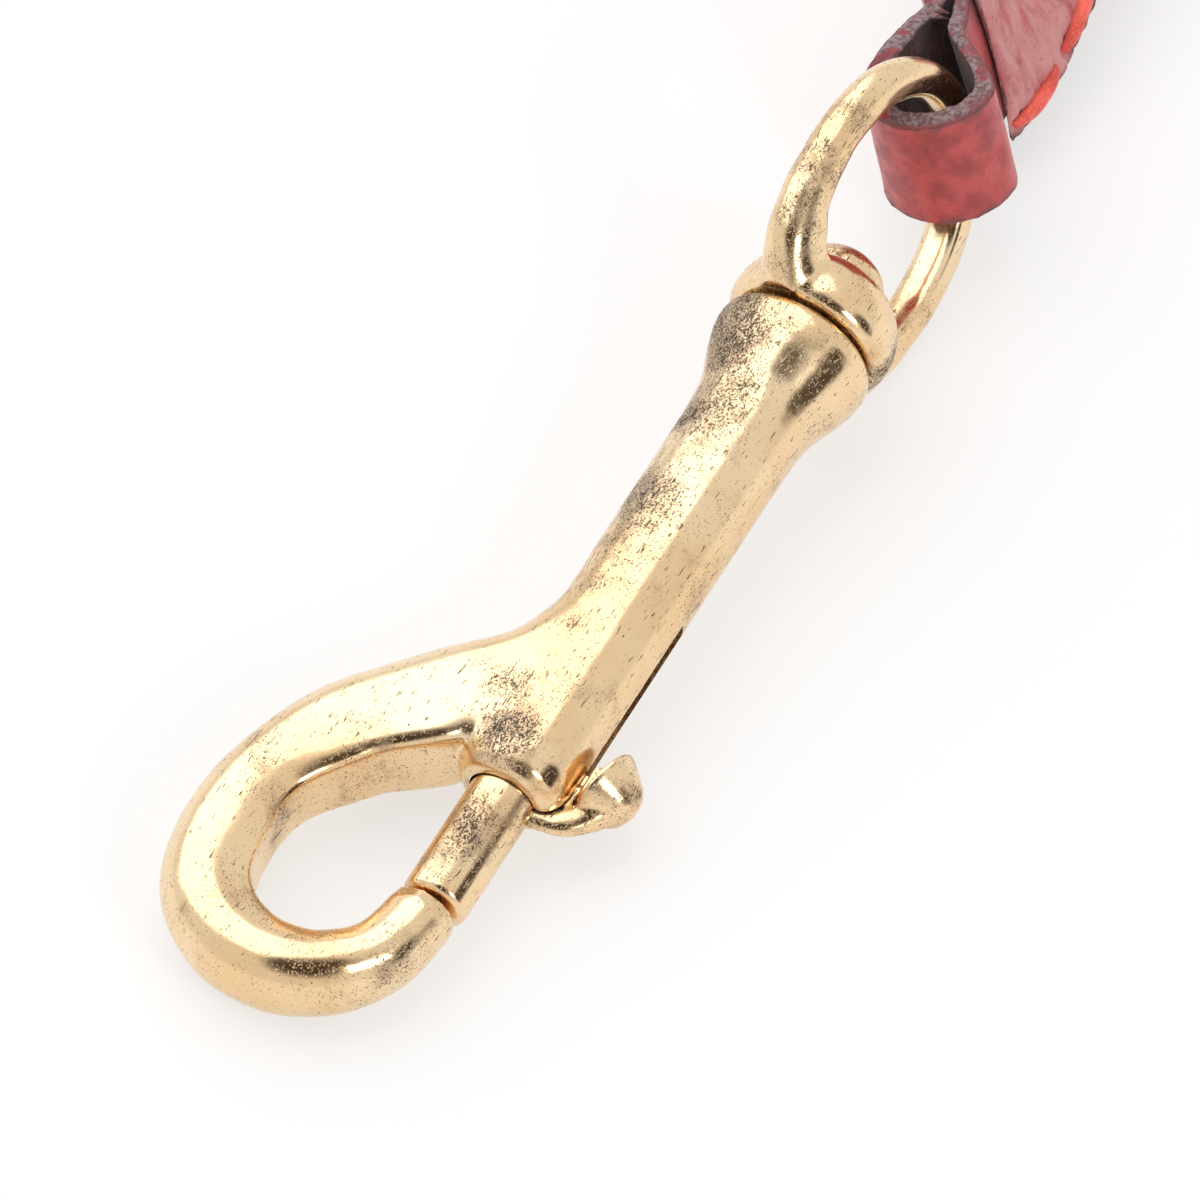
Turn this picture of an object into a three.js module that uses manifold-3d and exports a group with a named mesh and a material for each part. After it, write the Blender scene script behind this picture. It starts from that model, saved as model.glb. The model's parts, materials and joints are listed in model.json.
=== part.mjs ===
// Swivel-eye bolt snap on a stitched leather strap, with a split key ring.
// Millimetres, +Z up. The snap lies on its hook and on the low side of its swivel eye, and +X runs
// along the barrel from the hook to the strap and the key ring.

import * as THREE from 'three';
import { mergeVertices } from 'three/addons/utils/BufferGeometryUtils.js';
import Module from 'manifold-3d';

const wasm = await Module();
wasm.setup();

// ---- Driving dimensions -------------------------------------------------------------------------

// Snap frame: x = 0 at the collar's end face, +x towards the eye, +y on the hook's side.
const barrelRadius = 4.05;
const collarRadius = 5.65;
const mouthX = -41.3;
const flareX = -9.5;
const boltRadius = 2.35;
const boltTipX = -51.0;
const boltBackX = -27.8;
const boltTravel = 13.0;
const runningGap = 0.15;
const restGap = 0.3;
const boreEndX = -7.0;

const hookInnerCentre = new THREE.Vector2(-52.7, 7.15);
const hookInnerRadius = 4.7;
const hookOuterCentre = new THREE.Vector2(-52.85, 8.05);
const hookOuterRadius = 10.1;
const hookHalfHeight = 3.3;
const hookTipHalfHeight = 2.1;

// The slot and the knob are turned a little downwards about the barrel's axis.
const slotRoll = 10;
const slotWidth = 1.7;
const stemX = -38.5;
const stemLength = 3.0;
const stemThickness = 1.2;
const stemHoleRadius = 1.05;
const stemShankRadius = 0.8;
const ledgeThickness = 1.1;
const ledgeHalfWidth = 1.3;
const ledgeLip = 0.4;
const knobShift = 1.5;
const knobSink = 0.75;
const knobRadius = 2.9;
const knobHeight = 3.0;
const knobTilt = THREE.MathUtils.degToRad(22);

const springWire = 0.5;
const springRadius = 1.85;
const springTurns = 8;
const springEndGap = 3.2;

const rivetRadius = 1.2;
const rivetHeadRadius = 3.1;
const rivetHeadHeight = 2.6;
const rivetTailRadius = 1.85;
const rivetTailHeight = 1.3;
const washerThickness = 0.6;
const washerRadius = 2.2;

const eyeBaseRadius = 5.95;
const eyeBaseThickness = 4.9;
const eyeHalfWidth = 8.75;
const eyeBendX = 11.4;
const eyeBendLength = 10.2;
const eyeOffset = 0.55;
const eyeWireRadius = 1.45;
const eyeTurn = THREE.MathUtils.degToRad(73);

// The rest pose: the axis rises from the hook to the eye.
const snapTilt = THREE.MathUtils.degToRad(5);
const collarHeight = 8.58;

// Strap: two stitched layers over a core, with a folded tab at each end.
const strapLength = 78;
const loopX = 20.3;
const strapTurn = THREE.MathUtils.degToRad(78);
const strapWidth = 12;
const layerThickness = 1.6;
const layerStart = 6.4;
const layerSlant = 3.4;
const tabThickness = 1.4;
const tabWidth = 9.4;
const tabInnerRadius = 3.25;
const tabPinch = 6.2;
const tabLength = 21;
const tabLegGap = 0.1;
const stitchInset = 1.0;
const threadWidth = 0.6;
const threadHeight = 0.35;
const strapTwistLength = 36;
const strapDropLength = 11;
const strapSideShift = 1.0;
const strapClearance = 0.7;
const strapEndLift = 1.6;

// Key ring: a flat wire wound twice.
const ringRadius = 13;
const ringWireWidth = 2.0;
const ringWireHeight = 1.3;
const ringPitch = 1.5;
const ringTurns = 1.92;

const roundSegments = 32;

// ---- Materials ----------------------------------------------------------------------------------

const brass = new THREE.MeshStandardMaterial({ color: 0xc9a66b, roughness: 0.3, metalness: 1 });
const steel = new THREE.MeshStandardMaterial({ color: 0x9c9a94, roughness: 0.35, metalness: 1 });
const leather = new THREE.MeshStandardMaterial({ color: 0x93383a, roughness: 0.65, metalness: 0 });
const suede = new THREE.MeshStandardMaterial({ color: 0x5a2427, roughness: 0.9, metalness: 0 });
const thread = new THREE.MeshStandardMaterial({ color: 0xe2553d, roughness: 0.8, metalness: 0 });

// ---- Helpers ------------------------------------------------------------------------------------

const vector = (x, y, z) => new THREE.Vector3(x, y, z);
const mix = THREE.MathUtils.lerp;
const smooth = (t) => THREE.MathUtils.smoothstep(t, 0, 1);

// Turns a geometry into a solid, with its shared vertices merged and its faces pointing out.
function solid(geometry) {
  geometry.deleteAttribute('normal');
  geometry.deleteAttribute('uv');
  const merged = mergeVertices(geometry, 1e-4);
  const vertices = new Float32Array(merged.getAttribute('position').array);
  const triangles = new Uint32Array(merged.getIndex().array);
  if (signedVolume(vertices, triangles) < 0) {
    triangles.reverse();
  }
  return new wasm.Manifold(new wasm.Mesh({ numProp: 3, vertProperties: vertices, triVerts: triangles }));
}

function signedVolume(vertices, triangles) {
  const corner = (i) => new THREE.Vector3().fromArray(vertices, 3 * triangles[i]);
  let sum = 0;
  for (let i = 0; i < triangles.length; i += 3) {
    sum += corner(i).dot(corner(i + 1).cross(corner(i + 2)));
  }
  return sum / 6;
}

function geometryOf(manifold) {
  const mesh = manifold.getMesh();
  const geometry = new THREE.BufferGeometry();
  geometry.setAttribute('position', new THREE.BufferAttribute(mesh.vertProperties, 3));
  geometry.setIndex(new THREE.BufferAttribute(mesh.triVerts, 1));
  geometry.computeVertexNormals();
  return geometry;
}

function piece(name, shape, material) {
  const mesh = new THREE.Mesh(geometryOf(shape), material);
  mesh.name = name;
  return mesh;
}

// A solid of revolution about the x axis, from [x, radius] points.
function turned(profile, segments = roundSegments) {
  const points = profile.map(([x, radius]) => new THREE.Vector2(radius, x));
  const geometry = new THREE.LatheGeometry(points, segments);
  geometry.rotateZ(-Math.PI / 2);
  return solid(geometry);
}

function rod(startX, endX, radius, segments = roundSegments) {
  return turned([[startX, 0], [startX, radius], [endX, radius], [endX, 0]], segments);
}

function block(lowX, highX, lowY, highY, lowZ, highZ) {
  const geometry = new THREE.BoxGeometry(highX - lowX, highY - lowY, highZ - lowZ);
  geometry.translate((lowX + highX) / 2, (lowY + highY) / 2, (lowZ + highZ) / 2);
  return solid(geometry);
}

// Extrudes an outline in equal steps, then moves each vertex (u, v, t) to place(u, v, t), t from 0 to 1.
function swept(outline, steps, place) {
  const options = { depth: 1, steps, bevelEnabled: false, curveSegments: 6 };
  const geometry = new THREE.ExtrudeGeometry(outline, options);
  const position = geometry.getAttribute('position');
  for (let i = 0; i < position.count; i += 1) {
    const moved = place(position.getX(i), position.getY(i), position.getZ(i));
    position.setXYZ(i, moved.x, moved.y, moved.z);
  }
  return solid(geometry);
}

// A cast bar's section: round outside (+u), flat inside (-u) with rounded corners.
function castSection(flatness) {
  const sides = 20;
  const points = [];
  for (let i = 0; i < sides; i += 1) {
    const angle = (2 * Math.PI * (i + 0.5)) / sides;
    const u = Math.cos(angle);
    const v = Math.sin(angle);
    points.push(new THREE.Vector2(u < 0 ? -Math.pow(-u, flatness) : u, v));
  }
  return new THREE.Shape(points);
}

// Sweeps the cast section in a plane along stations of {x, y, half, height}.
function castBar(stations, steps, flatness) {
  const path = new THREE.CatmullRomCurve3(stations.map((s) => vector(s.x, s.y, 0)), false, 'centripetal');
  const last = stations.length - 1;
  return swept(castSection(flatness), steps, (u, v, t) => {
    const at = path.getPoint(t);
    const along = path.getTangent(t);
    const index = Math.min(Math.floor(t * last), last - 1);
    const part = smooth(t * last - index);
    const half = mix(stations[index].half, stations[index + 1].half, part);
    const height = mix(stations[index].height, stations[index + 1].height, part);
    return vector(at.x - along.y * u * half, at.y + along.x * u * half, v * height);
  });
}

// ---- Snap body ----------------------------------------------------------------------------------

function hookStations() {
  const stations = [{ x: boltTipX - restGap, y: 0.1, half: 2.0, height: hookTipHalfHeight }];
  const offset = new THREE.Vector2().subVectors(hookInnerCentre, hookOuterCentre);
  for (let degrees = 270; degrees >= 90; degrees -= 30) {
    const angle = THREE.MathUtils.degToRad(degrees);
    const ray = new THREE.Vector2(Math.cos(angle), Math.sin(angle));
    const along = offset.dot(ray);
    const outerReach = -along + Math.sqrt(along * along - offset.lengthSq() + hookOuterRadius ** 2);
    const middle = (hookInnerRadius + outerReach) / 2;
    stations.push({
      x: hookInnerCentre.x + middle * ray.x,
      y: hookInnerCentre.y + middle * ray.y,
      half: (outerReach - hookInnerRadius) / 2,
      height: mix(hookHalfHeight, hookTipHalfHeight + 0.4, smooth((degrees - 180) / 90)),
    });
  }
  // The web that carries the hook into the barrel's side.
  stations.push({ x: -47.3, y: 14.6, half: 3.1, height: 3.3 });
  stations.push({ x: -41.3, y: 11.4, half: 3.8, height: 3.45 });
  stations.push({ x: -36.6, y: 6.6, half: 4.3, height: 3.6 });
  stations.push({ x: -31.0, y: 2.2, half: 3.6, height: 3.6 });
  stations.push({ x: -25.0, y: 0.5, half: 3.3, height: 3.3 });
  return stations;
}

function snapBody() {
  const barrel = turned([
    [mouthX, 0],
    [mouthX, 2.8],
    [mouthX + 0.3, 3.3],
    [mouthX + 1.0, 3.8],
    [mouthX + 2.2, barrelRadius],
    [flareX, barrelRadius],
    [-7.2, 4.12],
    [-5.4, 4.4],
    [-4.0, 4.9],
    [-2.6, 5.38],
    [-1.4, collarRadius],
    [-0.5, collarRadius - 0.05],
    [0, collarRadius - 0.4],
    [0, 0],
  ], 40);
  const hook = castBar(hookStations(), 44, 0.55);
  const bore = rod(boltTipX - restGap, boreEndX, boltRadius + runningGap);
  const rivetHole = rod(boreEndX - 1, 1, rivetRadius + runningGap, 24);
  const slot = block(mouthX - 3, stemX + boltTravel + stemLength / 2 + restGap,
    -barrelRadius - 1, 0, -slotWidth / 2, slotWidth / 2).rotate([slotRoll, 0, 0]);
  return barrel.add(hook).subtract(bore).subtract(rivetHole).subtract(slot);
}

// ---- Bolt, knob and spring ----------------------------------------------------------------------

function acrossY(lowY, highY, radius, x) {
  const geometry = new THREE.CylinderGeometry(radius, radius, highY - lowY, 16);
  geometry.translate(x, (lowY + highY) / 2, 0);
  return solid(geometry);
}

function bolt() {
  const body = turned([
    [boltTipX, 0],
    [boltTipX, boltRadius - 0.4],
    [boltTipX + 0.4, boltRadius],
    [boltBackX - 0.4, boltRadius],
    [boltBackX, boltRadius - 0.4],
    [boltBackX, 0],
  ]);
  const hole = acrossY(-boltRadius - 1, 1.2, stemHoleRadius, stemX);
  return body.subtract(hole.rotate([slotRoll, 0, 0]));
}

function thumbKnob() {
  const ledgeTop = -barrelRadius - restGap;
  const shank = acrossY(ledgeTop, 0.9, stemShankRadius, stemX);
  const stem = block(stemX - stemLength / 2, stemX + stemLength / 2, ledgeTop - 0.1, -boltRadius - restGap,
    -stemThickness / 2, stemThickness / 2);
  const ledge = block(stemX - stemLength / 2, stemX + stemLength / 2 + ledgeLip,
    ledgeTop - ledgeThickness, ledgeTop, -ledgeHalfWidth, ledgeHalfWidth);
  const dome = new THREE.LatheGeometry([
    new THREE.Vector2(0, 0),
    new THREE.Vector2(knobRadius - 0.25, 0),
    new THREE.Vector2(knobRadius, 0.3),
    new THREE.Vector2(knobRadius * 0.88, knobHeight * 0.34),
    new THREE.Vector2(knobRadius * 0.66, knobHeight * 0.64),
    new THREE.Vector2(knobRadius * 0.38, knobHeight * 0.9),
    new THREE.Vector2(0, knobHeight),
  ], 28);
  dome.rotateZ(Math.PI - knobTilt);
  dome.translate(stemX + knobShift, ledgeTop - knobSink, 0);
  return shank.add(stem).add(ledge).add(solid(dome)).rotate([slotRoll, 0, 0]);
}

function boltSpring() {
  const startX = boltBackX + restGap + springWire / 2;
  const endX = boreEndX - springEndGap - springWire / 2;
  const sides = [];
  for (let i = 0; i < 6; i += 1) {
    const angle = (i * Math.PI) / 3;
    sides.push(new THREE.Vector2(Math.cos(angle) * springWire / 2, Math.sin(angle) * springWire / 2));
  }
  return swept(new THREE.Shape(sides), springTurns * 14, (u, v, t) => {
    const angle = 2 * Math.PI * springTurns * t;
    const radius = springRadius + u;
    return vector(mix(startX, endX, t) + v, radius * Math.cos(angle), radius * Math.sin(angle));
  });
}

// ---- Swivel eye and its rivet -------------------------------------------------------------------

function swivelRivet() {
  const headX = restGap + eyeBaseThickness + restGap;
  const tailX = boreEndX - restGap - washerThickness - restGap;
  return turned([
    [tailX - rivetTailHeight, 0],
    [tailX - rivetTailHeight, 1.3],
    [tailX - 0.9, rivetTailRadius],
    [tailX, rivetTailRadius],
    [tailX, rivetRadius],
    [headX, rivetRadius],
    [headX, rivetHeadRadius],
    [headX + 0.5, rivetHeadRadius],
    [headX + rivetHeadHeight * 0.62, rivetHeadRadius * 0.78],
    [headX + rivetHeadHeight * 0.9, rivetHeadRadius * 0.42],
    [headX + rivetHeadHeight, 0],
  ], 24);
}

function rivetWasher() {
  const x = boreEndX - restGap - washerThickness;
  const disc = rod(x, x + washerThickness, washerRadius, 24);
  return disc.subtract(rod(x - 1, x + 2, rivetRadius + runningGap, 24));
}

function swivelEye() {
  const baseEnd = restGap + eyeBaseThickness;
  const base = turned([
    [restGap, 0],
    [restGap, eyeBaseRadius - 0.7],
    [restGap + 0.35, eyeBaseRadius - 0.2],
    [restGap + 1.2, eyeBaseRadius],
    [restGap + 2.6, eyeBaseRadius - 0.1],
    [baseEnd - 1.2, eyeBaseRadius - 0.7],
    [baseEnd - 0.3, eyeBaseRadius - 1.7],
    [baseEnd, eyeBaseRadius - 2.6],
    [baseEnd, 0],
  ], 36);
  // The legs leave the base thick and thin down to the wire.
  const leg = [
    { x: 2.0, y: 4.4, half: 2.3 },
    { x: 3.7, y: 6.8, half: 2.0 },
    { x: 5.8, y: 8.0, half: 1.65 },
    { x: eyeBendX - 2.2, y: eyeHalfWidth, half: eyeWireRadius },
    { x: eyeBendX, y: eyeHalfWidth, half: eyeWireRadius },
  ];
  const bend = [];
  for (let degrees = 60; degrees >= -60; degrees -= 30) {
    const angle = THREE.MathUtils.degToRad(degrees);
    bend.push({
      x: eyeBendX + eyeBendLength * Math.cos(angle),
      y: eyeHalfWidth * Math.sin(angle),
      half: eyeWireRadius,
    });
  }
  const otherLeg = leg.map(({ x, y, half }) => ({ x, y: -y, half })).reverse();
  // The loop sits a little off the swivel's axis.
  const stations = [...leg, ...bend, ...otherLeg].map(({ x, y, half }) => (
    { x, y: y + eyeOffset * smooth(x / 6), half, height: eyeWireRadius }
  ));
  const loop = castBar(stations, 52, 0.6);
  return base.add(loop).subtract(rod(-1, baseEnd + 1, rivetRadius + 0.2, 24)).rotate([90, 0, 0]);
}

// ---- Leather strap ------------------------------------------------------------------------------

const legTop = tabLegGap / 2 + tabThickness;
const stackHalf = legTop + restGap + layerThickness;

// Where the strap's loop round the eye sits at rest.
const loopCentre = vector(loopX * Math.cos(snapTilt), 0, collarHeight + loopX * Math.sin(snapTilt));

// Places a strap point: along from the loop's centre, across its width and up through its thickness.
// The strap leaves the eye on edge, pivots over its lower edge and lies down flat.
function strapPoint(along, across, up) {
  const angle = strapTurn * (1 - smooth(along / strapTwistLength));
  const reach = (turn) => (strapWidth / 2) * Math.sin(turn) + stackHalf * Math.cos(turn);
  const clearance = mix(loopCentre.z - reach(strapTurn), strapClearance, smooth(along / strapDropLength));
  const lift = strapEndLift * smooth((along - strapLength + 30) / 30);
  const fallen = (strapWidth / 2) * (Math.cos(angle) - Math.cos(strapTurn));
  const drift = fallen + strapSideShift * smooth(along / tabPinch);
  const centreZ = clearance + reach(angle) + lift;
  return vector(
    loopCentre.x + along,
    drift + across * Math.cos(angle) - up * Math.sin(angle),
    centreZ + across * Math.sin(angle) + up * Math.cos(angle),
  );
}

// A rectangular strap section in (across, up), with its width divided evenly.
function strapSection(lowAcross, highAcross, lowUp, highUp, divisions) {
  const points = [];
  for (let i = 0; i <= divisions; i += 1) {
    points.push(new THREE.Vector2(mix(lowAcross, highAcross, i / divisions), lowUp));
  }
  for (let i = divisions; i >= 0; i -= 1) {
    points.push(new THREE.Vector2(mix(lowAcross, highAcross, i / divisions), highUp));
  }
  return new THREE.Shape(points);
}

// One face of the tab's folded leaf, from one leg's end round the loop to the other leg's end.
function tabLine(loopRadius, legUp) {
  const half = [];
  const legSteps = 7;
  for (let i = 0; i < legSteps; i += 1) {
    half.push(new THREE.Vector2(mix(tabLength, tabPinch, i / legSteps), legUp));
  }
  const pinchSteps = 6;
  for (let i = 0; i < pinchSteps; i += 1) {
    const part = i / pinchSteps;
    half.push(new THREE.Vector2(mix(tabPinch, 0, part), mix(legUp, loopRadius, smooth(part))));
  }
  const arcSteps = 7;
  for (let i = 0; i <= arcSteps; i += 1) {
    const angle = Math.PI / 2 + (i * Math.PI) / 2 / arcSteps;
    half.push(new THREE.Vector2(loopRadius * Math.cos(angle), loopRadius * Math.sin(angle)));
  }
  const mirrored = half.slice(0, -1).reverse().map((p) => new THREE.Vector2(p.x, -p.y));
  return [...half, ...mirrored];
}

// A leaf of leather folded round a loop; alongOf turns a distance from the loop into one on the strap.
function foldedTab(alongOf) {
  const inner = tabLine(tabInnerRadius, tabLegGap / 2);
  const outer = tabLine(tabInnerRadius + tabThickness, legTop);
  const steps = inner.length - 1;
  const section = strapSection(-tabWidth / 2, tabWidth / 2, 0, 1, 4);
  return swept(section, steps, (u, v, t) => {
    const index = Math.round(t * steps);
    const point = inner[index].clone().lerp(outer[index], v);
    return strapPoint(alongOf(point.x), u, point.y);
  });
}

// How far a layer's slanted end moves a point at this distance along and part of the width across.
function endSlant(along, part) {
  return layerSlant * part * (1 - smooth((along - layerStart) / 12));
}

function strapCore() {
  const start = tabLength + restGap;
  const end = strapLength - start;
  const halfWidth = strapWidth / 2 - 0.5;
  const section = strapSection(-halfWidth, halfWidth, -legTop, legTop, 5);
  return swept(section, 18, (u, v, t) => strapPoint(mix(start, end, t), u, v));
}

function strapLayer(side) {
  const low = legTop + restGap;
  const section = strapSection(-strapWidth / 2, strapWidth / 2, side * low, side * (low + layerThickness), 6);
  return swept(section, 32, (u, v, t) => {
    const along = mix(layerStart, strapLength - layerStart, t);
    return strapPoint(along + endSlant(along, 0.5 + u / strapWidth), u, v);
  });
}

function threadRun(side, across) {
  const low = stackHalf + 0.12;
  const start = layerStart + stitchInset + endSlant(layerStart, 0.5 + across / strapWidth);
  const end = strapLength - layerStart - stitchInset;
  const section = strapSection(across - threadWidth / 2, across + threadWidth / 2,
    side * low, side * (low + threadHeight), 1);
  return swept(section, 34, (u, v, t) => strapPoint(mix(start, end, t), u, v));
}

// ---- Key ring -----------------------------------------------------------------------------------

// The ring hangs through the far tab, with its far side down on the surface.
function keyRing() {
  const halfWidth = ringWireWidth / 2;
  const halfHeight = ringWireHeight / 2;
  const bevel = 0.25;
  const section = new THREE.Shape([
    new THREE.Vector2(halfWidth, -halfHeight + bevel),
    new THREE.Vector2(halfWidth, halfHeight - bevel),
    new THREE.Vector2(halfWidth - bevel, halfHeight),
    new THREE.Vector2(-halfWidth + bevel, halfHeight),
    new THREE.Vector2(-halfWidth, halfHeight - bevel),
    new THREE.Vector2(-halfWidth, -halfHeight + bevel),
    new THREE.Vector2(-halfWidth + bevel, -halfHeight),
    new THREE.Vector2(halfWidth - bevel, -halfHeight),
  ]);
  return swept(section, 96, (u, v, t) => {
    const angle = 2 * Math.PI * ringTurns * t - 0.5 * Math.PI;
    const radius = ringRadius + u;
    const rise = ringPitch * ringTurns * (t - 0.5);
    return vector(radius * Math.cos(angle), radius * Math.sin(angle), rise + v);
  });
}

// ---- Assembly -----------------------------------------------------------------------------------

const snap = new THREE.Group();
snap.position.z = collarHeight;
snap.rotation.y = -snapTilt;
snap.add(
  piece('snap_body', snapBody(), brass),
  piece('bolt', bolt(), brass),
  piece('thumb_knob', thumbKnob(), brass),
  piece('bolt_spring', boltSpring(), steel),
  piece('swivel_rivet', swivelRivet(), brass),
  piece('rivet_washer', rivetWasher(), brass),
);
const eye = piece('swivel_eye', swivelEye(), brass);
eye.rotation.x = eyeTurn - Math.PI / 2;
snap.add(eye);

const strap = new THREE.Group();
strap.add(
  piece('snap_tab', foldedTab((x) => x), suede),
  piece('ring_tab', foldedTab((x) => strapLength - x), suede),
  piece('strap_core', strapCore(), suede),
  piece('strap_front', strapLayer(1), leather),
  piece('strap_back', strapLayer(-1), leather),
);
const stitchAcross = strapWidth / 2 - stitchInset;
strap.add(
  piece('thread_front_upper', threadRun(1, stitchAcross), thread),
  piece('thread_front_lower', threadRun(1, -stitchAcross), thread),
  piece('thread_back_upper', threadRun(-1, stitchAcross), thread),
  piece('thread_back_lower', threadRun(-1, -stitchAcross), thread),
);

const farLoop = strapPoint(strapLength, 0, 0);
const ringTilt = Math.asin((farLoop.z - ringPitch * 1.5) / (2 * ringRadius));
const ringGroup = new THREE.Group();
ringGroup.position.copy(farLoop);
ringGroup.rotation.y = ringTilt;
const ring = piece('key_ring', keyRing(), steel);
ring.position.x = ringRadius - 0.4;
ringGroup.add(ring);

// The origin is under the middle of the whole object, on the surface it lies on.
const model = new THREE.Group();
model.add(snap, strap, ringGroup);
const bounds = new THREE.Box3().setFromObject(model, true);
const middle = bounds.getCenter(vector(0, 0, 0));
model.position.set(-middle.x, -middle.y, -bounds.min.z);

export default model;
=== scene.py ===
# Swivel-eye bolt snap on a stitched leather strap, with a split key ring.
# Lengths are in millimetres and are turned into metres by mm as they are used.

import json
import math

import bpy
from mathutils import Matrix, Vector
from mathutils.noise import noise as noise_at


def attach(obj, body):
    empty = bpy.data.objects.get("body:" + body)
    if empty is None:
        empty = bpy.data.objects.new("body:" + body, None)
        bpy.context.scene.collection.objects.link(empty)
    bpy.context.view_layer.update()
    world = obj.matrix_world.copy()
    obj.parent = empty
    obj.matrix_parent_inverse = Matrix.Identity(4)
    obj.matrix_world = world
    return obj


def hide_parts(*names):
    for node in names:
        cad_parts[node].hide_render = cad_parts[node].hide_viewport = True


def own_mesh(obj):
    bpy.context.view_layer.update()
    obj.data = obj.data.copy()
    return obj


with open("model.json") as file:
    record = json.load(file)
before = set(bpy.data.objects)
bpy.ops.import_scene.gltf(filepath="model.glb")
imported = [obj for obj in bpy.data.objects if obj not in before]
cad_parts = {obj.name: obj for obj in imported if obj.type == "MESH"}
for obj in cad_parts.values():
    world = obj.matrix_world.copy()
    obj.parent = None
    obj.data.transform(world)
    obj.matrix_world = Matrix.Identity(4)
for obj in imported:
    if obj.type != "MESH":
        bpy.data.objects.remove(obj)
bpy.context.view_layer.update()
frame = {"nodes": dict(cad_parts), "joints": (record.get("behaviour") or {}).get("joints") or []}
mm = 0.001
joints = {joint["name"]: joint for joint in frame["joints"]}

# ---- Camera --------------------------------------------------------------------------------------
# A long lens looks down over the snap's thumb-knob side, so the hook comes nearest and the strap
# runs out of the top of the picture.

camera_azimuth = math.radians(-61.25)
camera_elevation = math.radians(50.6)
camera_lens = 800
view_width = 80 * mm
swivel_centre = Vector(joints["eye_swivel"]["pos_m"])
camera_aim = swivel_centre + Vector((-22.47, 2.87, -4.5)) * mm

bpy.ops.object.select_all(action="DESELECT")
bpy.ops.object.camera_add()
camera = bpy.context.object
camera.data.lens = camera_lens
camera_back = Vector((
    math.sin(camera_azimuth) * math.cos(camera_elevation),
    -math.cos(camera_azimuth) * math.cos(camera_elevation),
    math.sin(camera_elevation),
))
camera_distance = view_width * camera_lens / camera.data.sensor_width
camera.location = camera_aim + camera_back * camera_distance
camera.rotation_mode = "QUATERNION"
camera.rotation_quaternion = (-camera_back).to_track_quat("-Z", "Y")
camera.data.clip_start = camera_distance * 0.05
camera.data.clip_end = camera_distance * 20
bpy.context.scene.camera = camera

# ---- Floor and studio light ----------------------------------------------------------------------
# A white table in a bright white room under a broad softbox, with a small one low on the knob's side.
# Two dark gaps in the room, where people and gear stand, are what gives polished metal its shape.

backdrop_white = (0.99, 0.982, 0.972, 1)
floor_paint = (0.93, 0.915, 0.9, 1)
floor_glow = 0.64
floor_size = 6
sky_colour = (0.93, 0.93, 0.95, 1)
sky_level = 0.66
gloss_white = (0.95, 0.94, 0.92, 1)
gloss_level = 0.9
gap_brown = (0.055, 0.038, 0.026, 1)
gaps = [
    # direction from the snap, and the angles where the gap's soft edge starts and ends
    (camera_back, math.radians(16), math.radians(36)),
    (Vector((0.02, -0.957, 0.282)), math.radians(14), math.radians(22)),
]
softboxes = [
    # direction from the snap, distance, size, power in watts
    ((0.25, 0.5, 0.85), 0.62, 1.0, 3.8),
    ((-0.36, -0.77, 0.53), 0.5, 0.13, 0.5),
]


def add_node(tree, kind, settings=None, **inputs):
    """Adds a node, sets its properties, and sets or links its inputs, named with _ for spaces."""
    made = tree.nodes.new(kind)
    for name, value in (settings or {}).items():
        setattr(made, name, value)
    for name, value in inputs.items():
        socket = made.inputs[int(name[1:]) if name[1:].isdigit() else name.replace("_", " ")]
        if isinstance(value, bpy.types.NodeSocket):
            tree.links.new(value, socket)
        else:
            socket.default_value = value
    return made


def math_node(tree, operation, first, second=0.0, third=0.0):
    settings = {"operation": operation}
    return add_node(tree, "ShaderNodeMath", settings, i0=first, i1=second, i2=third).outputs[0]


def empty_material(name):
    material = bpy.data.materials.new(name)
    material.use_nodes = True
    material.node_tree.nodes.clear()
    return material, material.node_tree


def seen_by_eye_or_gloss(tree):
    """1 for rays straight from the camera, and for those that a glossy surface reflects."""
    path = add_node(tree, "ShaderNodeLightPath")
    return math_node(tree, "MAXIMUM", path.outputs["Is Camera Ray"], path.outputs["Is Glossy Ray"])


bpy.ops.object.select_all(action="DESELECT")
bpy.ops.mesh.primitive_plane_add(size=floor_size)
floor = bpy.context.object
floor.name = "floor"
floor_finish, tree = empty_material("floor_white")
painted = add_node(tree, "ShaderNodeBsdfDiffuse", Color=floor_paint)
glow = add_node(tree, "ShaderNodeEmission", Color=backdrop_white, Strength=1.0)
share = math_node(tree, "MULTIPLY", seen_by_eye_or_gloss(tree), floor_glow)
mixed = add_node(tree, "ShaderNodeMixShader", i0=share, i1=painted.outputs[0], i2=glow.outputs[0])
add_node(tree, "ShaderNodeOutputMaterial", Surface=mixed.outputs[0])
floor.data.materials.append(floor_finish)

world = bpy.data.worlds.new("studio")
world.use_nodes = True
bpy.context.scene.world = world
tree = world.node_tree
tree.nodes.clear()
white = add_node(tree, "ShaderNodeBackground", Color=backdrop_white, Strength=1.0)
room = add_node(tree, "ShaderNodeBackground", Color=sky_colour, Strength=sky_level)
bright = add_node(tree, "ShaderNodeBackground", Color=gloss_white, Strength=gloss_level)
gap = add_node(tree, "ShaderNodeBackground", Color=gap_brown, Strength=1.0)
ray = add_node(tree, "ShaderNodeTexCoord").outputs["Generated"]
in_gap = 0.0
for direction, inner_angle, outer_angle in gaps:
    towards = add_node(tree, "ShaderNodeVectorMath", {"operation": "DOT_PRODUCT"}, i0=ray, i1=direction)
    settings = {"interpolation_type": "SMOOTHSTEP"}
    edge = add_node(tree, "ShaderNodeMapRange", settings, Value=towards.outputs["Value"],
                    From_Min=math.cos(outer_angle), From_Max=math.cos(inner_angle))
    in_gap = math_node(tree, "MAXIMUM", edge.outputs["Result"], in_gap)
path = add_node(tree, "ShaderNodeLightPath")
gloss = add_node(tree, "ShaderNodeMixShader", i0=in_gap, i1=bright.outputs[0], i2=gap.outputs[0])
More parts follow.
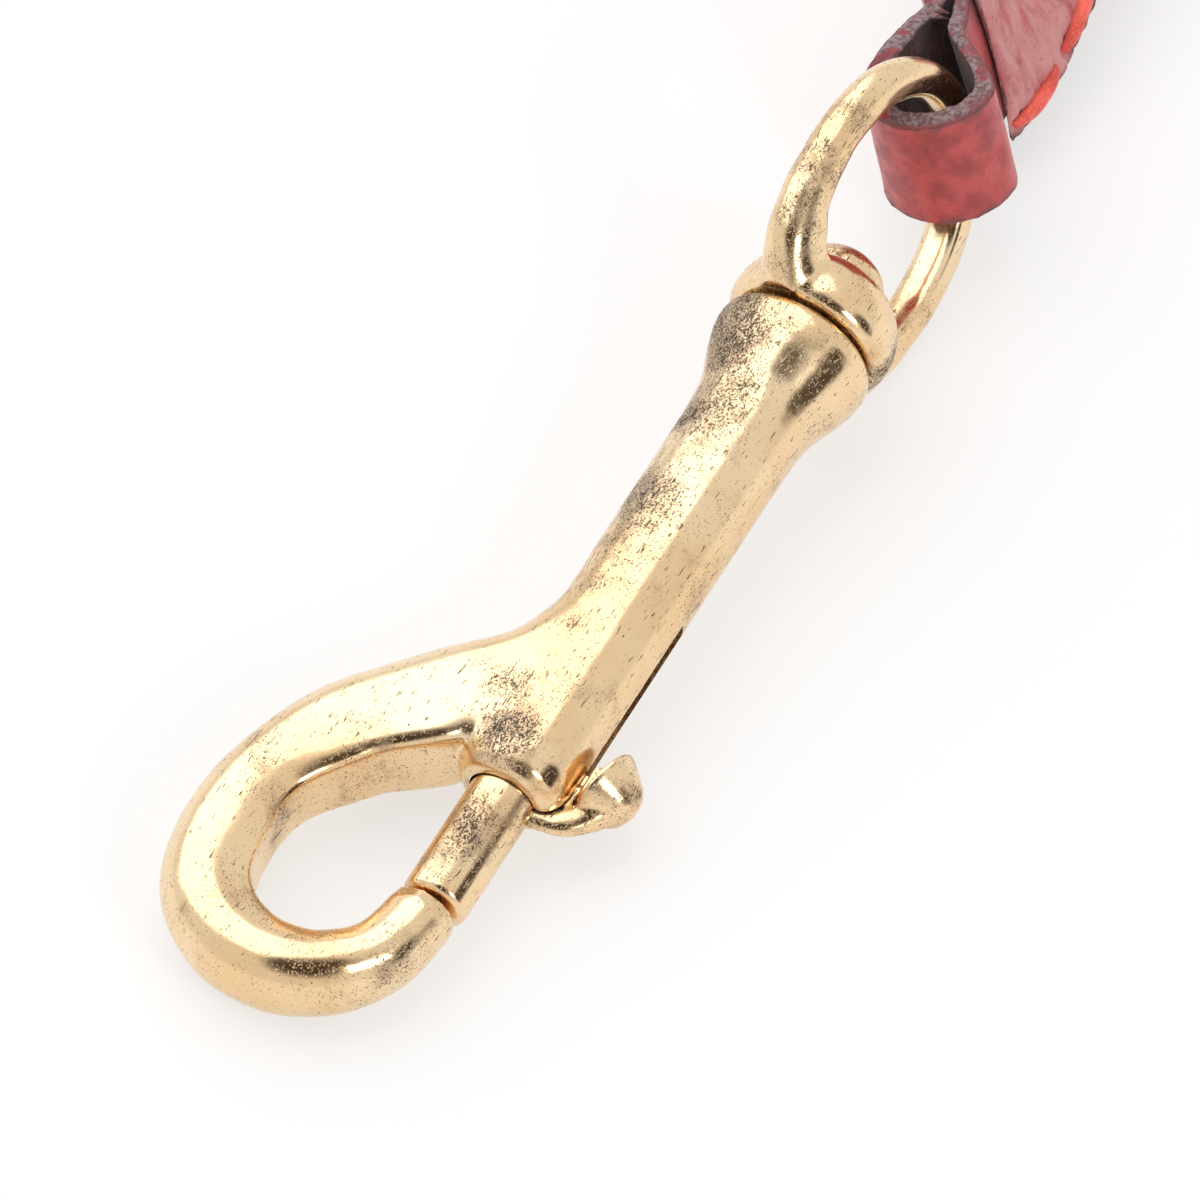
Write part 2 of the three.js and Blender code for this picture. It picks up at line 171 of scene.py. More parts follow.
lit = add_node(tree, "ShaderNodeMixShader", i0=path.outputs["Is Glossy Ray"], i1=room.outputs[0],
               i2=gloss.outputs[0])
mixed = add_node(tree, "ShaderNodeMixShader", i0=path.outputs["Is Camera Ray"], i1=lit.outputs[0],
                 i2=white.outputs[0])
add_node(tree, "ShaderNodeOutputWorld", Surface=mixed.outputs[0])

for direction, distance, size, power in softboxes:
    towards = Vector(direction).normalized()
    bpy.ops.object.light_add(type="AREA", location=camera_aim + towards * distance)
    softbox = bpy.context.object
    softbox.data.size = size
    softbox.data.energy = power
    softbox.rotation_mode = "QUATERNION"
    softbox.rotation_quaternion = towards.to_track_quat("Z", "Y")

bpy.context.scene.view_settings.view_transform = "Standard"

# ---- Snap body -----------------------------------------------------------------------------------
# Barrel, nose, hook and web are one brass casting, tumbled smooth. The hook is round outside and
# has a sloped shoulder and a flat wall inside. The bore and the thumb slot are cut after casting.

barrel_radius = 4.05
collar_radius = 5.65
mouth_x = -41.3
bolt_radius = 2.35
bolt_tip_x = -51.0
rest_gap = 0.3
bore_end_x = -7.0
slot_width = 1.7
slot_end_x = -23.7
slot_roll = math.radians(10)
rivet_radius = 1.2
barrel_profile = [
    (mouth_x, 0), (mouth_x, 2.9), (mouth_x + 0.3, 3.35), (mouth_x + 1.0, 3.8), (mouth_x + 2.2, 4.02),
    (mouth_x + 4.0, barrel_radius), (-9.5, barrel_radius), (-7.9, 4.1), (-6.6, 4.22), (-5.4, 4.48),
    (-4.3, 4.86), (-3.2, 5.24), (-2.2, 5.52), (-1.3, collar_radius), (-0.5, 5.6), (0, 5.25), (0, 0),
]
hook_inner_centre = Vector((-52.7, 7.15))
hook_inner_radius = 4.7
hook_outer_centre = Vector((-52.85, 8.05))
hook_outer_radius = 10.1
hook_half_height = 3.3
hook_tip_half_height = 2.2
web_stations = [
    # x, y, half width, half height
    (-47.3, 14.6, 3.1, 3.3), (-41.3, 11.4, 3.8, 3.45), (-36.6, 6.6, 4.3, 3.6),
    (-31.0, 2.2, 3.6, 3.6), (-25.0, 0.5, 3.3, 3.3),
]
shoulder_section = [
    (-0.13, 0.985), (-0.3, 0.93), (-0.46, 0.865), (-0.62, 0.79), (-0.77, 0.715), (-0.9, 0.64),
    (-0.97, 0.57), (-1.0, 0.47), (-1.0, 0.24),
]
web_section = [
    (-0.13, 1.0), (-0.3, 0.995), (-0.46, 0.985), (-0.62, 0.965), (-0.77, 0.93), (-0.9, 0.86),
    (-0.97, 0.74), (-1.0, 0.55), (-1.0, 0.26),
]
web_fillet = [
    # x, y, z and radius of each stretch where the web runs up into the barrel
    (-36.5, 3.4, 3.4, 4.2), (-33.0, 2.6, 3.6, 4.6), (-29.0, 2.4, 3.4, 4.6), (-25.0, 3.0, 2.6, 4.2),
]

swivel_axis = Vector(joints["eye_swivel"]["axis"]).normalized()
across_snap = Vector((0, 1, 0))


def place_matrix(origin, along, across):
    turn = Matrix((along, across, along.cross(across))).transposed()
    return Matrix.Translation(origin) @ turn.to_4x4()


snap_place = place_matrix(swivel_centre, swivel_axis, across_snap)


def mix(low, high, part):
    return low + (high - low) * part


def smooth(t):
    t = min(max(t, 0), 1)
    return t * t * (3 - 2 * t)


def select_only(piece):
    bpy.ops.object.select_all(action="DESELECT")
    piece.select_set(True)
    bpy.context.view_layer.objects.active = piece


def named(name):
    made = bpy.context.object
    made.name = name
    made.data.name = name
    return made


def turned(name, profile, steps=96):
    """Spins a profile of (x, radius) points round the X axis, as on a lathe."""
    bpy.ops.object.select_all(action="DESELECT")
    bpy.ops.mesh.primitive_plane_add(size=mm)
    bpy.ops.object.mode_set(mode="EDIT")
    bpy.ops.mesh.merge(type="CENTER")
    bpy.ops.transform.translate(value=(profile[0][0] * mm, 0, profile[0][1] * mm))
    for (x, radius), (next_x, next_radius) in zip(profile, profile[1:]):
        step = ((next_x - x) * mm, 0, (next_radius - radius) * mm)
        bpy.ops.mesh.extrude_vertices_move(TRANSFORM_OT_translate={"value": step})
    bpy.ops.mesh.select_all(action="SELECT")
    bpy.ops.mesh.spin(steps=steps, angle=2 * math.pi, center=(0, 0, 0), axis=(1, 0, 0))
    close_up()
    return named(name)


def close_up():
    """Merges doubles, fills open ends and turns the faces outwards, then leaves edit mode."""
    bpy.ops.mesh.select_all(action="SELECT")
    bpy.ops.mesh.remove_doubles(threshold=1e-6)
    bpy.ops.mesh.fill_holes(sides=0)
    bpy.ops.mesh.normals_make_consistent(inside=False)
    bpy.ops.object.mode_set(mode="OBJECT")


def rolled(name, around, along, place, flat_place=None):
    """A grid rolled into a tube: place(u, v) is each corner's point in mm, u round and v along.
    flat_place(u, v) is kept as each corner's "flat" attribute, for patterns that follow the surface."""
    bpy.ops.object.select_all(action="DESELECT")
    bpy.ops.mesh.primitive_grid_add(x_subdivisions=around, y_subdivisions=along, size=1)
    made = named(name)
    corners = [(corner.co.x + 0.5, corner.co.y + 0.5) for corner in made.data.vertices]
    if flat_place:
        flat = made.data.attributes.new("flat", "FLOAT_VECTOR", "POINT")
        flat.data.foreach_set("vector", [value for u, v in corners for value in flat_place(u, v)])
    for corner, (u, v) in zip(made.data.vertices, corners):
        corner.co = place(u, v) * mm
    bpy.ops.object.mode_set(mode="EDIT")
    close_up()
    return made


def path_point(points, t):
    """A point at t, from 0 to 1, on a centripetal curve through the points."""
    ends = [2 * points[0] - points[1], *points, 2 * points[-1] - points[-2]]
    place = min(max(t, 0), 1) * (len(points) - 1)
    first = min(int(place), len(points) - 2)
    p0, p1, p2, p3 = ends[first:first + 4]
    knots = [0.0]
    for a, b in ((p0, p1), (p1, p2), (p2, p3)):
        knots.append(knots[-1] + math.sqrt(max((b - a).length, 1e-6)))
    k0, k1, k2, k3 = knots
    k = mix(k1, k2, place - first)
    a1 = p0.lerp(p1, (k - k0) / (k1 - k0))
    a2 = p1.lerp(p2, (k - k1) / (k2 - k1))
    a3 = p2.lerp(p3, (k - k2) / (k3 - k2))
    b1 = a1.lerp(a2, (k - k0) / (k2 - k0))
    b2 = a2.lerp(a3, (k - k1) / (k3 - k1))
    return b1.lerp(b2, (k - k1) / (k2 - k1))


def section_point(section, u):
    """A point at u, from 0 to 1, round a closed section of equal steps."""
    place = (u % 1) * len(section)
    first = int(place) % len(section)
    return section[first].lerp(section[(first + 1) % len(section)], place - int(place))


def cast_bar(name, section, stations, around, along, far_section=None, change=(0, 1)):
    """Sweeps a section in the XY plane along stations of x, y, half width and half height.
    It turns into far_section over the part of the length given by change."""
    points = [Vector(station[:2]) for station in stations]
    last = len(stations) - 1
    far_section = far_section or section

    def place(u, v):
        centre = path_point(points, v)
        ahead = (path_point(points, v + 0.002) - path_point(points, v - 0.002)).normalized()
        index = min(int(v * last), last - 1)
        part = smooth(v * last - index)
        half = mix(stations[index][2], stations[index + 1][2], part)
        height = mix(stations[index][3], stations[index + 1][3], part)
        turned_part = smooth((v - change[0]) / (change[1] - change[0]))
        out = section_point(section, u).lerp(section_point(far_section, u), turned_part)
        return Vector((centre.x - ahead.y * out.x * half, centre.y + ahead.x * out.x * half, out.y * height))

    return rolled(name, around, along, place)


def apply_modifier(piece, kind, **settings):
    select_only(piece)
    modifier = piece.modifiers.new("shape", kind)
    for name, value in settings.items():
        setattr(modifier, name, value)
    bpy.ops.object.modifier_apply(modifier=modifier.name)


def combine(piece, tool, operation):
    """Joins a tool to a piece, or cuts it away, and removes the tool."""
    apply_modifier(piece, "BOOLEAN", operation=operation, solver="EXACT", object=tool)
    bpy.data.objects.remove(tool)


def cast_over(piece, voxel, smoothings):
    """Turns joined shapes into one skin with soft fillets, as casting and tumbling leave it."""
    apply_modifier(piece, "REMESH", mode="VOXEL", voxel_size=voxel * mm)
    apply_modifier(piece, "SMOOTH", factor=0.5, iterations=smoothings)


def soften(piece, spots, rounds):
    """Wears a cast skin down round each spot of x, y, z and radius, above and below the middle."""
    worn = piece.vertex_groups.new(name="worn")
    for corner in piece.data.vertices:
        weight = 0
        for x, y, z, radius in spots:
            away = (Vector((corner.co.x, corner.co.y, abs(corner.co.z))) / mm - Vector((x, y, z))).length
            weight = max(weight, smooth(2 * (1 - away / radius)))
        if weight > 0:
            worn.add([corner.index], weight, "REPLACE")
    apply_modifier(piece, "SMOOTH", factor=0.5, iterations=rounds, vertex_group="worn")
    piece.vertex_groups.clear()


def put_in_place(piece, place):
    piece.matrix_world = place
    select_only(piece)
    bpy.ops.object.transform_apply(location=True, rotation=True, scale=True)


def shade(piece, degrees=35):
    select_only(piece)
    bpy.ops.object.shade_smooth_by_angle(angle=math.radians(degrees))


def box_tool(low, high):
    centre = [(a + b) / 2 * mm for a, b in zip(low, high)]
    bpy.ops.object.select_all(action="DESELECT")
    bpy.ops.mesh.primitive_cube_add(size=1, location=centre, scale=[(b - a) * mm for a, b in zip(low, high)])
    tool = named("tool")
    bpy.ops.object.transform_apply(location=True, rotation=True, scale=True)
    return tool


def rod_tool(low_x, high_x, radius):
    return turned("tool", [(low_x, 0), (low_x, radius), (high_x, radius), (high_x, 0)], 64)


def finish_piece(piece, body, slot, *nodes):
    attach(piece, body)
    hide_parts(*nodes)


def hook_section(inner_side):
    outer = [Vector((math.cos(a), math.sin(a))) for a in
             [math.radians(degrees) for degrees in range(-90, 91, 10)]]
    upper = [Vector(point) for point in inner_side]
    lower = [Vector((x, -y)) for x, y in reversed(inner_side)]
    return outer + upper + lower


def hook_stations():
    stations = [(bolt_tip_x - rest_gap, 0.05, 2.15, hook_tip_half_height)]
    offset = hook_inner_centre - hook_outer_centre
    for degrees in range(270, 60, -30):
        ray = Vector((math.cos(math.radians(degrees)), math.sin(math.radians(degrees))))
        lean = offset.dot(ray)
        reach = -lean + math.sqrt(lean * lean - offset.length_squared + hook_outer_radius ** 2)
        centre = hook_inner_centre + ray * (hook_inner_radius + reach) / 2
        height = mix(hook_half_height, hook_tip_half_height + 0.4, smooth((degrees - 180) / 90))
        stations.append((centre.x, centre.y, (reach - hook_inner_radius) / 2, height))
    return stations + web_stations


snap_casting = turned("snap_casting", barrel_profile)
hook = cast_bar("hook", hook_section(shoulder_section), hook_stations(), 74, 150,
                hook_section(web_section), change=(0.55, 0.85))
combine(snap_casting, hook, "UNION")
cast_over(snap_casting, voxel=0.19, smoothings=7)
soften(snap_casting, web_fillet, rounds=140)
combine(snap_casting, rod_tool(bolt_tip_x - rest_gap, bore_end_x, bolt_radius + 0.15), "DIFFERENCE")
combine(snap_casting, rod_tool(bore_end_x - 1, 1, rivet_radius + 0.15), "DIFFERENCE")
slot_low = (mouth_x - 3, -barrel_radius - 1, -slot_width / 2)
slot_high = (slot_end_x, 0, slot_width / 2)
slot_turn = Matrix.Rotation(slot_roll, 4, "X")
slot_tool = box_tool(slot_low, slot_high)
put_in_place(slot_tool, slot_turn)
combine(snap_casting, slot_tool, "DIFFERENCE")
put_in_place(snap_casting, snap_place)
shade(snap_casting)

# Brass that has lost its lacquer: pale polished gold, brown bloom, and black pits and scratches
# that gather where hands and dirt have worked. On the barrel's upper side the bloom is also painted shade.

clean_brass = (0.93, 0.72, 0.46, 1)
warm_brass = (0.86, 0.6, 0.33, 1)
brown_bloom = (0.38, 0.26, 0.165, 1)
pit_brown = (0.13, 0.085, 0.05, 1)
pit_black = (0.045, 0.034, 0.026, 1)
rust_orange = (0.55, 0.24, 0.06, 1)


def noise(tree, where, scale, detail=2.0, roughness=0.5):
    settings = {"noise_dimensions": "3D"}
    return add_node(tree, "ShaderNodeTexNoise", settings, Vector=where, Scale=scale, Detail=detail,
                    Roughness=roughness).outputs["Fac"]


def ramp(tree, value, low, high, to_low=0.0, to_high=1.0):
    settings = {"interpolation_type": "SMOOTHSTEP"}
    return add_node(tree, "ShaderNodeMapRange", settings, Value=value, From_Min=low, From_Max=high,
                    To_Min=to_low, To_Max=to_high).outputs["Result"]


def blend_colour(tree, part, first, second):
    mixed = add_node(tree, "ShaderNodeMix", {"data_type": "RGBA"}, i0=part, i6=first, i7=second)
    return mixed.outputs[2]


def near(tree, where, centre, radius):
    """1 at a point of the object, falling to 0 at that radius in mm."""
    settings = {"operation": "DISTANCE"}
    away = add_node(tree, "ShaderNodeVectorMath", settings, i0=where, i1=centre).outputs["Value"]
    return ramp(tree, away, radius * mm, 0.25 * radius * mm)


def aged_brass(name, place, patches=(), rust=(), pitting=0.0, bloom=0.0):
    """patches and rust are (x, y, z, radius, strength) in mm in the frame of place."""
    material, tree = empty_material(name)
    where = add_node(tree, "ShaderNodeTexCoord").outputs["Object"]

    def marks(spots):
        total = 0.0
        for x, y, z, radius, strength in spots:
            centre = place @ (Vector((x, y, z)) * mm)
            mark = math_node(tree, "MULTIPLY", near(tree, where, centre, radius), strength)
            total = math_node(tree, "ADD", mark, total)
        return total

    crowded = noise(tree, where, 210, 4, 0.6)
    crowding = math_node(tree, "ADD", ramp(tree, crowded, 0.42, 0.7, 0.0, 0.6), marks(patches))
    crowding = math_node(tree, "ADD", crowding, pitting)
    # Pits: fine grains whose threshold falls where they crowd, over a few coarser ones.
    grains = noise(tree, where, 6800, 3, 0.6)
    pits = ramp(tree, math_node(tree, "MULTIPLY_ADD", crowding, 0.14, grains), 0.645, 0.715, 0.0, 0.9)
    coarse = noise(tree, where, 2700, 4, 0.7)
    coarse_pits = ramp(tree, math_node(tree, "MULTIPLY_ADD", crowding, 0.105, coarse), 0.68, 0.73)
    # Scratches: short dashes, in two directions.
    scratches = 0.0
    for turn, scale in ((0.35, (640, 5200, 5200)), (1.25, (700, 5600, 5600))):
        turned_where = add_node(tree, "ShaderNodeMapping", Vector=where, Rotation=(0.1, 0.15, turn),
                                Scale=scale)
        dash = noise(tree, turned_where.outputs[0], 1.0, 2)
        raised = math_node(tree, "MULTIPLY_ADD", crowding, 0.055, dash)
        scratches = math_node(tree, "MAXIMUM", ramp(tree, raised, 0.68, 0.72, 0.0, 0.85), scratches)
    dark = math_node(tree, "MAXIMUM", math_node(tree, "MAXIMUM", pits, coarse_pits), scratches)
    # Bloom: a thin brown film in cloudy, grainy patches.
    cloud = noise(tree, where, 520, 7, 0.7)
    film = math_node(tree, "MULTIPLY_ADD", crowding, 0.34, cloud)
    film = ramp(tree, film, 0.56 - bloom, 0.96 - bloom, 0.0, 0.7)
    warmth = ramp(tree, noise(tree, where, 95, 3), 0.35, 0.7)
    colour = blend_colour(tree, warmth, clean_brass, warm_brass)
    colour = blend_colour(tree, film, colour, brown_bloom)
    if rust:
        grainy = math_node(tree, "MULTIPLY", marks(rust), ramp(tree, cloud, 0.35, 0.6))
        colour = blend_colour(tree, math_node(tree, "MINIMUM", grainy, 0.85), colour, rust_orange)
    pit_colour = blend_colour(tree, ramp(tree, crowding, 0.7, 1.3), pit_brown, pit_black)
    colour = blend_colour(tree, dark, colour, pit_colour)
    roughness = math_node(tree, "MULTIPLY_ADD", film, 0.22, ramp(tree, cloud, 0.3, 0.75, 0.13, 0.22))
    roughness = math_node(tree, "MULTIPLY_ADD", dark, 0.35, roughness)
    metallic = math_node(tree, "MULTIPLY_ADD", dark, -0.7, 1.0)
    sunk = math_node(tree, "MULTIPLY_ADD", dark, -1.0, math_node(tree, "MULTIPLY", cloud, 0.5))
    dents = math_node(tree, "MULTIPLY_ADD", noise(tree, where, 260, 2), 1.6, sunk)
    bump = add_node(tree, "ShaderNodeBump", Height=dents, Strength=0.35, Distance=0.06 * mm)
    shader = add_node(tree, "ShaderNodeBsdfPrincipled", Base_Color=colour, Roughness=roughness,
                      Metallic=metallic, Normal=bump.outputs[0])
    add_node(tree, "ShaderNodeOutputMaterial", Surface=shader.outputs[0])
    return material


snap_patches = [
    # nose and its top
    (-39.0, 0.6, 4.0, 3.4, 1.05), (-36.0, 1.4, 4.0, 4.0, 0.4), (-33.0, -1.5, 3.9, 3.0, 0.3),
    # collar, and the barrel's upper side, whose bloom is tarnish and also painted shade on that side
    (-1.8, -3.4, 4.2, 1.9, 0.4), (-2.4, 3.6, 4.0, 5.5, 1.15), (-8.0, 1.8, 3.8, 5.5, 0.75),
    (-14.0, 2.2, 3.6, 7.0, 0.45), (-20.0, 2.2, 3.6, 6.5, 0.35), (-26.0, 2.0, 3.8, 6.0, 0.3),
    # hook's foot and inner wall
    (-57.0, -1.2, 2.0, 3.6, 0.6), (-53.0, -1.8, 1.5, 3.0, 0.4), (-50.0, 12.0, 1.5, 4.5, 0.3),
    (-61.0, 3.0, 2.0, 3.0, 0.2),
]
snap_rust = [(-40.4, -3.3, 2.4, 1.7, 0.9), (-51.3, 0, 0, 2.6, 0.8), (-62.8, 11.5, 1.5, 1.0, 0.6)]
snap_casting.data.materials.append(
    aged_brass("snap_brass", snap_place, patches=snap_patches, rust=snap_rust, pitting=0.0))
finish_piece(snap_casting, "snap", "snap_brass", "snap_body")

# ---- Bolt and thumb knob -------------------------------------------------------------------------
# The bolt is a turned brass rod that closes the hook. Its knob is a leaning button over a small
# ledge, on a flat stem and a rounded neck that come out through the barrel's slot.

bolt_back_x = -27.8
stem_x = -38.5
stem_length = 3.0
stem_thickness = 1.2
stem_hole_radius = 1.05
stem_shank_radius = 0.8
ledge_thickness = 1.1
ledge_shift = 0.6
ledge_half_width = 1.3
neck_stations = [
    # x, y, half width, half height of the cast neck between bolt and knob
    (-41.3, -1.6, 1.0, 0.6), (-41.15, -3.0, 1.0, 0.6), (-40.5, -4.5, 1.15, 0.75), (-38.7, -5.9, 1.3, 1.2),
]
knob_shift = 1.5
knob_sink = 0.75
knob_radius = 2.9
knob_height = 3.0
knob_tilt = math.radians(15)
button_profile = [
    (0, 0), (0, 0.8), (0, 0.96), (0.02, 0.99), (0.06, 1.0), (0.12, 0.985), (0.3, 0.89), (0.55, 0.745),
    (0.75, 0.61), (0.88, 0.47), (0.96, 0.28), (0.99, 0.14), (1.0, 0),
]

bolt_rod = turned("bolt_rod", [
    (bolt_tip_x, 0), (bolt_tip_x, 1.9), (bolt_tip_x + 0.08, 2.06), (bolt_tip_x + 0.26, 2.26),
    (bolt_tip_x + 0.5, bolt_radius), (bolt_back_x - 0.4, bolt_radius), (bolt_back_x, 1.95), (bolt_back_x, 0),
])
ledge_top = -barrel_radius - rest_gap


def upright_rod(low_y, high_y, radius, x):
    tool = turned("tool", [(low_y, 0), (low_y, radius), (high_y, radius), (high_y, 0)], 32)
    put_in_place(tool, Matrix.Translation((x * mm, 0, 0)) @ Matrix.Rotation(math.pi / 2, 4, "Z"))
    return tool


stem_hole = upright_rod(-bolt_radius - 1, 1.2, stem_hole_radius, stem_x)
put_in_place(stem_hole, slot_turn)
combine(bolt_rod, stem_hole, "DIFFERENCE")
put_in_place(bolt_rod, snap_place)
shade(bolt_rod, 30)
bolt_patches = [(-44.5, 0.3, 2.3, 2.8, 0.9), (-47.5, -0.2, 2.3, 2.4, 0.65), (-50.0, -0.5, 2.0, 1.4, 0.4)]
bolt_rod.data.materials.append(
    aged_brass("bolt_brass", snap_place, patches=bolt_patches,
               rust=[(bolt_tip_x, 0, 0, 2.7, 0.6)], pitting=0.05))
finish_piece(bolt_rod, "gate_bolt", "snap_brass", "bolt")

knob_button = turned("knob_button", [(knob_height * x, knob_radius * r) for x, r in button_profile])
lean = Matrix.Rotation(-math.pi / 2 - knob_tilt, 4, "Z")
knob_base = Vector((stem_x + knob_shift, ledge_top - knob_sink, 0))
put_in_place(knob_button, Matrix.Translation(knob_base * mm) @ lean)
stem_low = (stem_x - stem_length / 2, ledge_top - 0.3, -stem_thickness / 2)
stem_high = (stem_x + stem_length / 2, -bolt_radius - rest_gap, stem_thickness / 2)
combine(knob_button, box_tool(stem_low, stem_high), "UNION")
ledge_low = (stem_x - stem_length / 2 + ledge_shift, ledge_top - ledge_thickness, -ledge_half_width)
ledge_high = (stem_x + stem_length / 2 + ledge_shift, ledge_top, ledge_half_width)
combine(knob_button, box_tool(ledge_low, ledge_high), "UNION")
round_section = [Vector((math.cos(math.radians(a)), math.sin(math.radians(a)))) for a in range(0, 360, 15)]
combine(knob_button, cast_bar("neck", round_section, neck_stations, 24, 40), "UNION")
combine(knob_button, upright_rod(ledge_top - 0.2, 0.9, stem_shank_radius, stem_x), "UNION")
cast_over(knob_button, voxel=0.08, smoothings=7)
soften(knob_button, [(stem_x - 1.6, ledge_top - 1.0, 0, 2.4)], rounds=60)
put_in_place(knob_button, snap_place @ slot_turn)
shade(knob_button)
knob_button.data.materials.append(
    aged_brass("knob_brass", snap_place, patches=[(-37.0, -8.0, 0.5, 2.2, 0.5)],
               rust=[(-39.5, -4.4, 1.0, 1.5, 0.7)], pitting=0.15))
finish_piece(knob_button, "gate_bolt", "snap_brass", "thumb_knob")

# ---- Bolt spring ---------------------------------------------------------------------------------
# A compression spring of round steel wire behind the bolt. In use it flattens towards the rivet's tail as
# the knob is drawn back; here it is built at rest and fixed to the snap.

spring_wire = 0.5
spring_radius = 1.85
spring_turns = 8
spring_end_gap = 3.2
spring_start_x = bolt_back_x + rest_gap + spring_wire / 2
spring_end_x = bore_end_x - spring_end_gap - spring_wire / 2


def spring_place(u, v):
    turn = 2 * math.pi * spring_turns * v
    out = spring_radius + spring_wire / 2 * math.cos(2 * math.pi * u)
    x = mix(spring_start_x, spring_end_x, v) + spring_wire / 2 * math.sin(2 * math.pi * u)
    return Vector((x, out * math.cos(turn), out * math.sin(turn)))


def worn_steel(name, colour, scale_line, wear=0.3):
    material, tree = empty_material(name)
    where = add_node(tree, "ShaderNodeTexCoord").outputs["Object"]
    drawn = noise(tree, where, scale_line, 3)
    spots = ramp(tree, noise(tree, where, 2400, 4, 0.6), 0.62, 0.72, 0.0, wear)
    dulled = tuple(channel * 0.55 for channel in colour[:3]) + (1,)
    tone = blend_colour(tree, ramp(tree, drawn, 0.4, 0.7), colour, dulled)
    tone = blend_colour(tree, spots, tone, (0.12, 0.1, 0.085, 1))
    roughness = ramp(tree, drawn, 0.3, 0.7, 0.2, 0.38)
    bump = add_node(tree, "ShaderNodeBump", Height=drawn, Strength=0.25, Distance=0.03 * mm)
    shader = add_node(tree, "ShaderNodeBsdfPrincipled", Base_Color=tone, Roughness=roughness,
                      Metallic=1.0, Normal=bump.outputs[0])
    add_node(tree, "ShaderNodeOutputMaterial", Surface=shader.outputs[0])
    return material


spring_coil = rolled("spring_coil", 12, spring_turns * 36, spring_place)
put_in_place(spring_coil, snap_place)
shade(spring_coil)
spring_coil.data.materials.append(worn_steel("spring_steel", (0.45, 0.44, 0.42, 1), 900))
finish_piece(spring_coil, "snap", "spring_steel", "bolt_spring")
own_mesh(spring_coil)

# ---- Swivel rivet and washer ---------------------------------------------------------------------
# A domed brass rivet passes through the eye's base into the barrel, where its tail is clenched over
# a washer, so the eye turns freely.

eye_base_thickness = 4.9
rivet_head_radius = 3.1
rivet_head_height = 2.6
washer_thickness = 0.6
head_x = rest_gap + eye_base_thickness + rest_gap
tail_x = bore_end_x - rest_gap - washer_thickness - rest_gap
dome = [(head_x + 0.25 + (rivet_head_height - 0.25) * math.sin(math.radians(a)),
         rivet_head_radius * math.cos(math.radians(a))) for a in range(10, 90, 8)]
rivet = turned("rivet", [
    (tail_x - 1.3, 0), (tail_x - 1.3, 1.2), (tail_x - 1.1, 1.6), (tail_x - 0.6, 1.85), (tail_x, 1.85),
    (tail_x, rivet_radius), (head_x, rivet_radius), (head_x, rivet_head_radius - 0.1),
    (head_x + 0.1, rivet_head_radius), *dome, (head_x + rivet_head_height, 0),
])
put_in_place(rivet, snap_place)
shade(rivet)
rivet.data.materials.append(
    aged_brass("rivet_brass", snap_place, patches=[(6.5, 0, 3.0, 2.2, 0.5)], pitting=0.05))
finish_piece(rivet, "snap", "snap_brass", "swivel_rivet")

washer = frame["nodes"]["rivet_washer"]
washer.data.materials.clear()
washer.data.materials.append(aged_brass("washer_brass", snap_place, pitting=0.4, bloom=0.1))
shade(washer)

# ---- Swivel eye ----------------------------------------------------------------------------------
# Base and bow are one casting. The legs leave the base thick, with flat inner faces, and the base
# ends in a crisp round rim under the rivet's head.

eye_turn = math.radians(73)
eye_half_width = 8.75
eye_bend_x = 11.4
eye_bend_length = 10.2
eye_offset = 0.55
eye_wire_radius = 1.45
eye_base_profile = [
    (rest_gap, 0), (rest_gap, 4.95), (0.4, 5.35), (0.65, 5.66), (1.05, 5.86), (1.6, 5.95), (2.6, 5.88),
    (3.5, 5.62), (4.3, 5.18), (4.8, 4.75), (5.0, 4.5), (5.2, 4.2), (5.2, 0),
]
leg_stations = [
    (1.9, 4.2, 2.4, 2.3), (3.7, 6.5, 2.25, 1.9), (6.0, 7.95, 1.8, 1.6), (9.2, 8.6, 1.5, 1.5),
    (eye_bend_x, eye_half_width, eye_wire_radius, eye_wire_radius),
]

leg_fillet = [(3.0, 5.4, 2.8, 3.2), (3.0, -5.0, 2.8, 3.2)]


def leg_section():
    """Round outside, flat inside with small round corners."""
    points = []
    for step in range(48):
        angle = math.radians(-90 + 7.5 * step)
        out, up = math.cos(angle), math.sin(angle)
        points.append(Vector((-abs(out) ** 0.5 * 0.92 if out < 0 else out, up)))
    return points


def eye_stations():
    bow = []
    for degrees in range(60, -90, -30):
        angle = math.radians(degrees)
        bow.append((eye_bend_x + eye_bend_length * math.cos(angle), eye_half_width * math.sin(angle),
                    eye_wire_radius, eye_wire_radius))
    other = [(x, -y, half, height) for x, y, half, height in reversed(leg_stations)]
    route = [*leg_stations, *bow, *other]
    return [(x, y + eye_offset * smooth(x / 6), half, height) for x, y, half, height in route]


eye_across = Vector((0, math.cos(eye_turn), math.sin(eye_turn)))
eye_place = place_matrix(swivel_centre, swivel_axis, snap_place.to_3x3() @ eye_across)
eye_casting = turned("eye_casting", eye_base_profile)
combine(eye_casting, cast_bar("bow", leg_section(), eye_stations(), 48, 130), "UNION")
cast_over(eye_casting, voxel=0.15, smoothings=5)
soften(eye_casting, leg_fillet, rounds=70)
combine(eye_casting, rod_tool(-1, 7, rivet_radius + 0.2), "DIFFERENCE")
combine(eye_casting, rod_tool(-4, rest_gap, 12), "DIFFERENCE")
put_in_place(eye_casting, eye_place)
shade(eye_casting)
eye_patches = [(8.0, 9.9, 0.6, 3.0, 0.7), (4.0, 9.0, 0.6, 2.6, 0.6), (2.2, -3.2, 5.2, 3.6, 0.95),
               (13.0, 9.6, 0.8, 2.4, 0.3)]
eye_casting.data.materials.append(
    aged_brass("eye_brass", eye_place, patches=eye_patches, rust=[(0.3, 0, 5.3, 2.0, 0.4)], pitting=0.0))
finish_piece(eye_casting, "eye", "snap_brass", "swivel_eye")

# ---- Leather tabs --------------------------------------------------------------------------------
# At each end a leaf of thick red leather is folded round the eye or the ring and sewn between the
# strap's layers. Its cut edges are bare, dark and fuzzy, and its flesh side is dark suede.

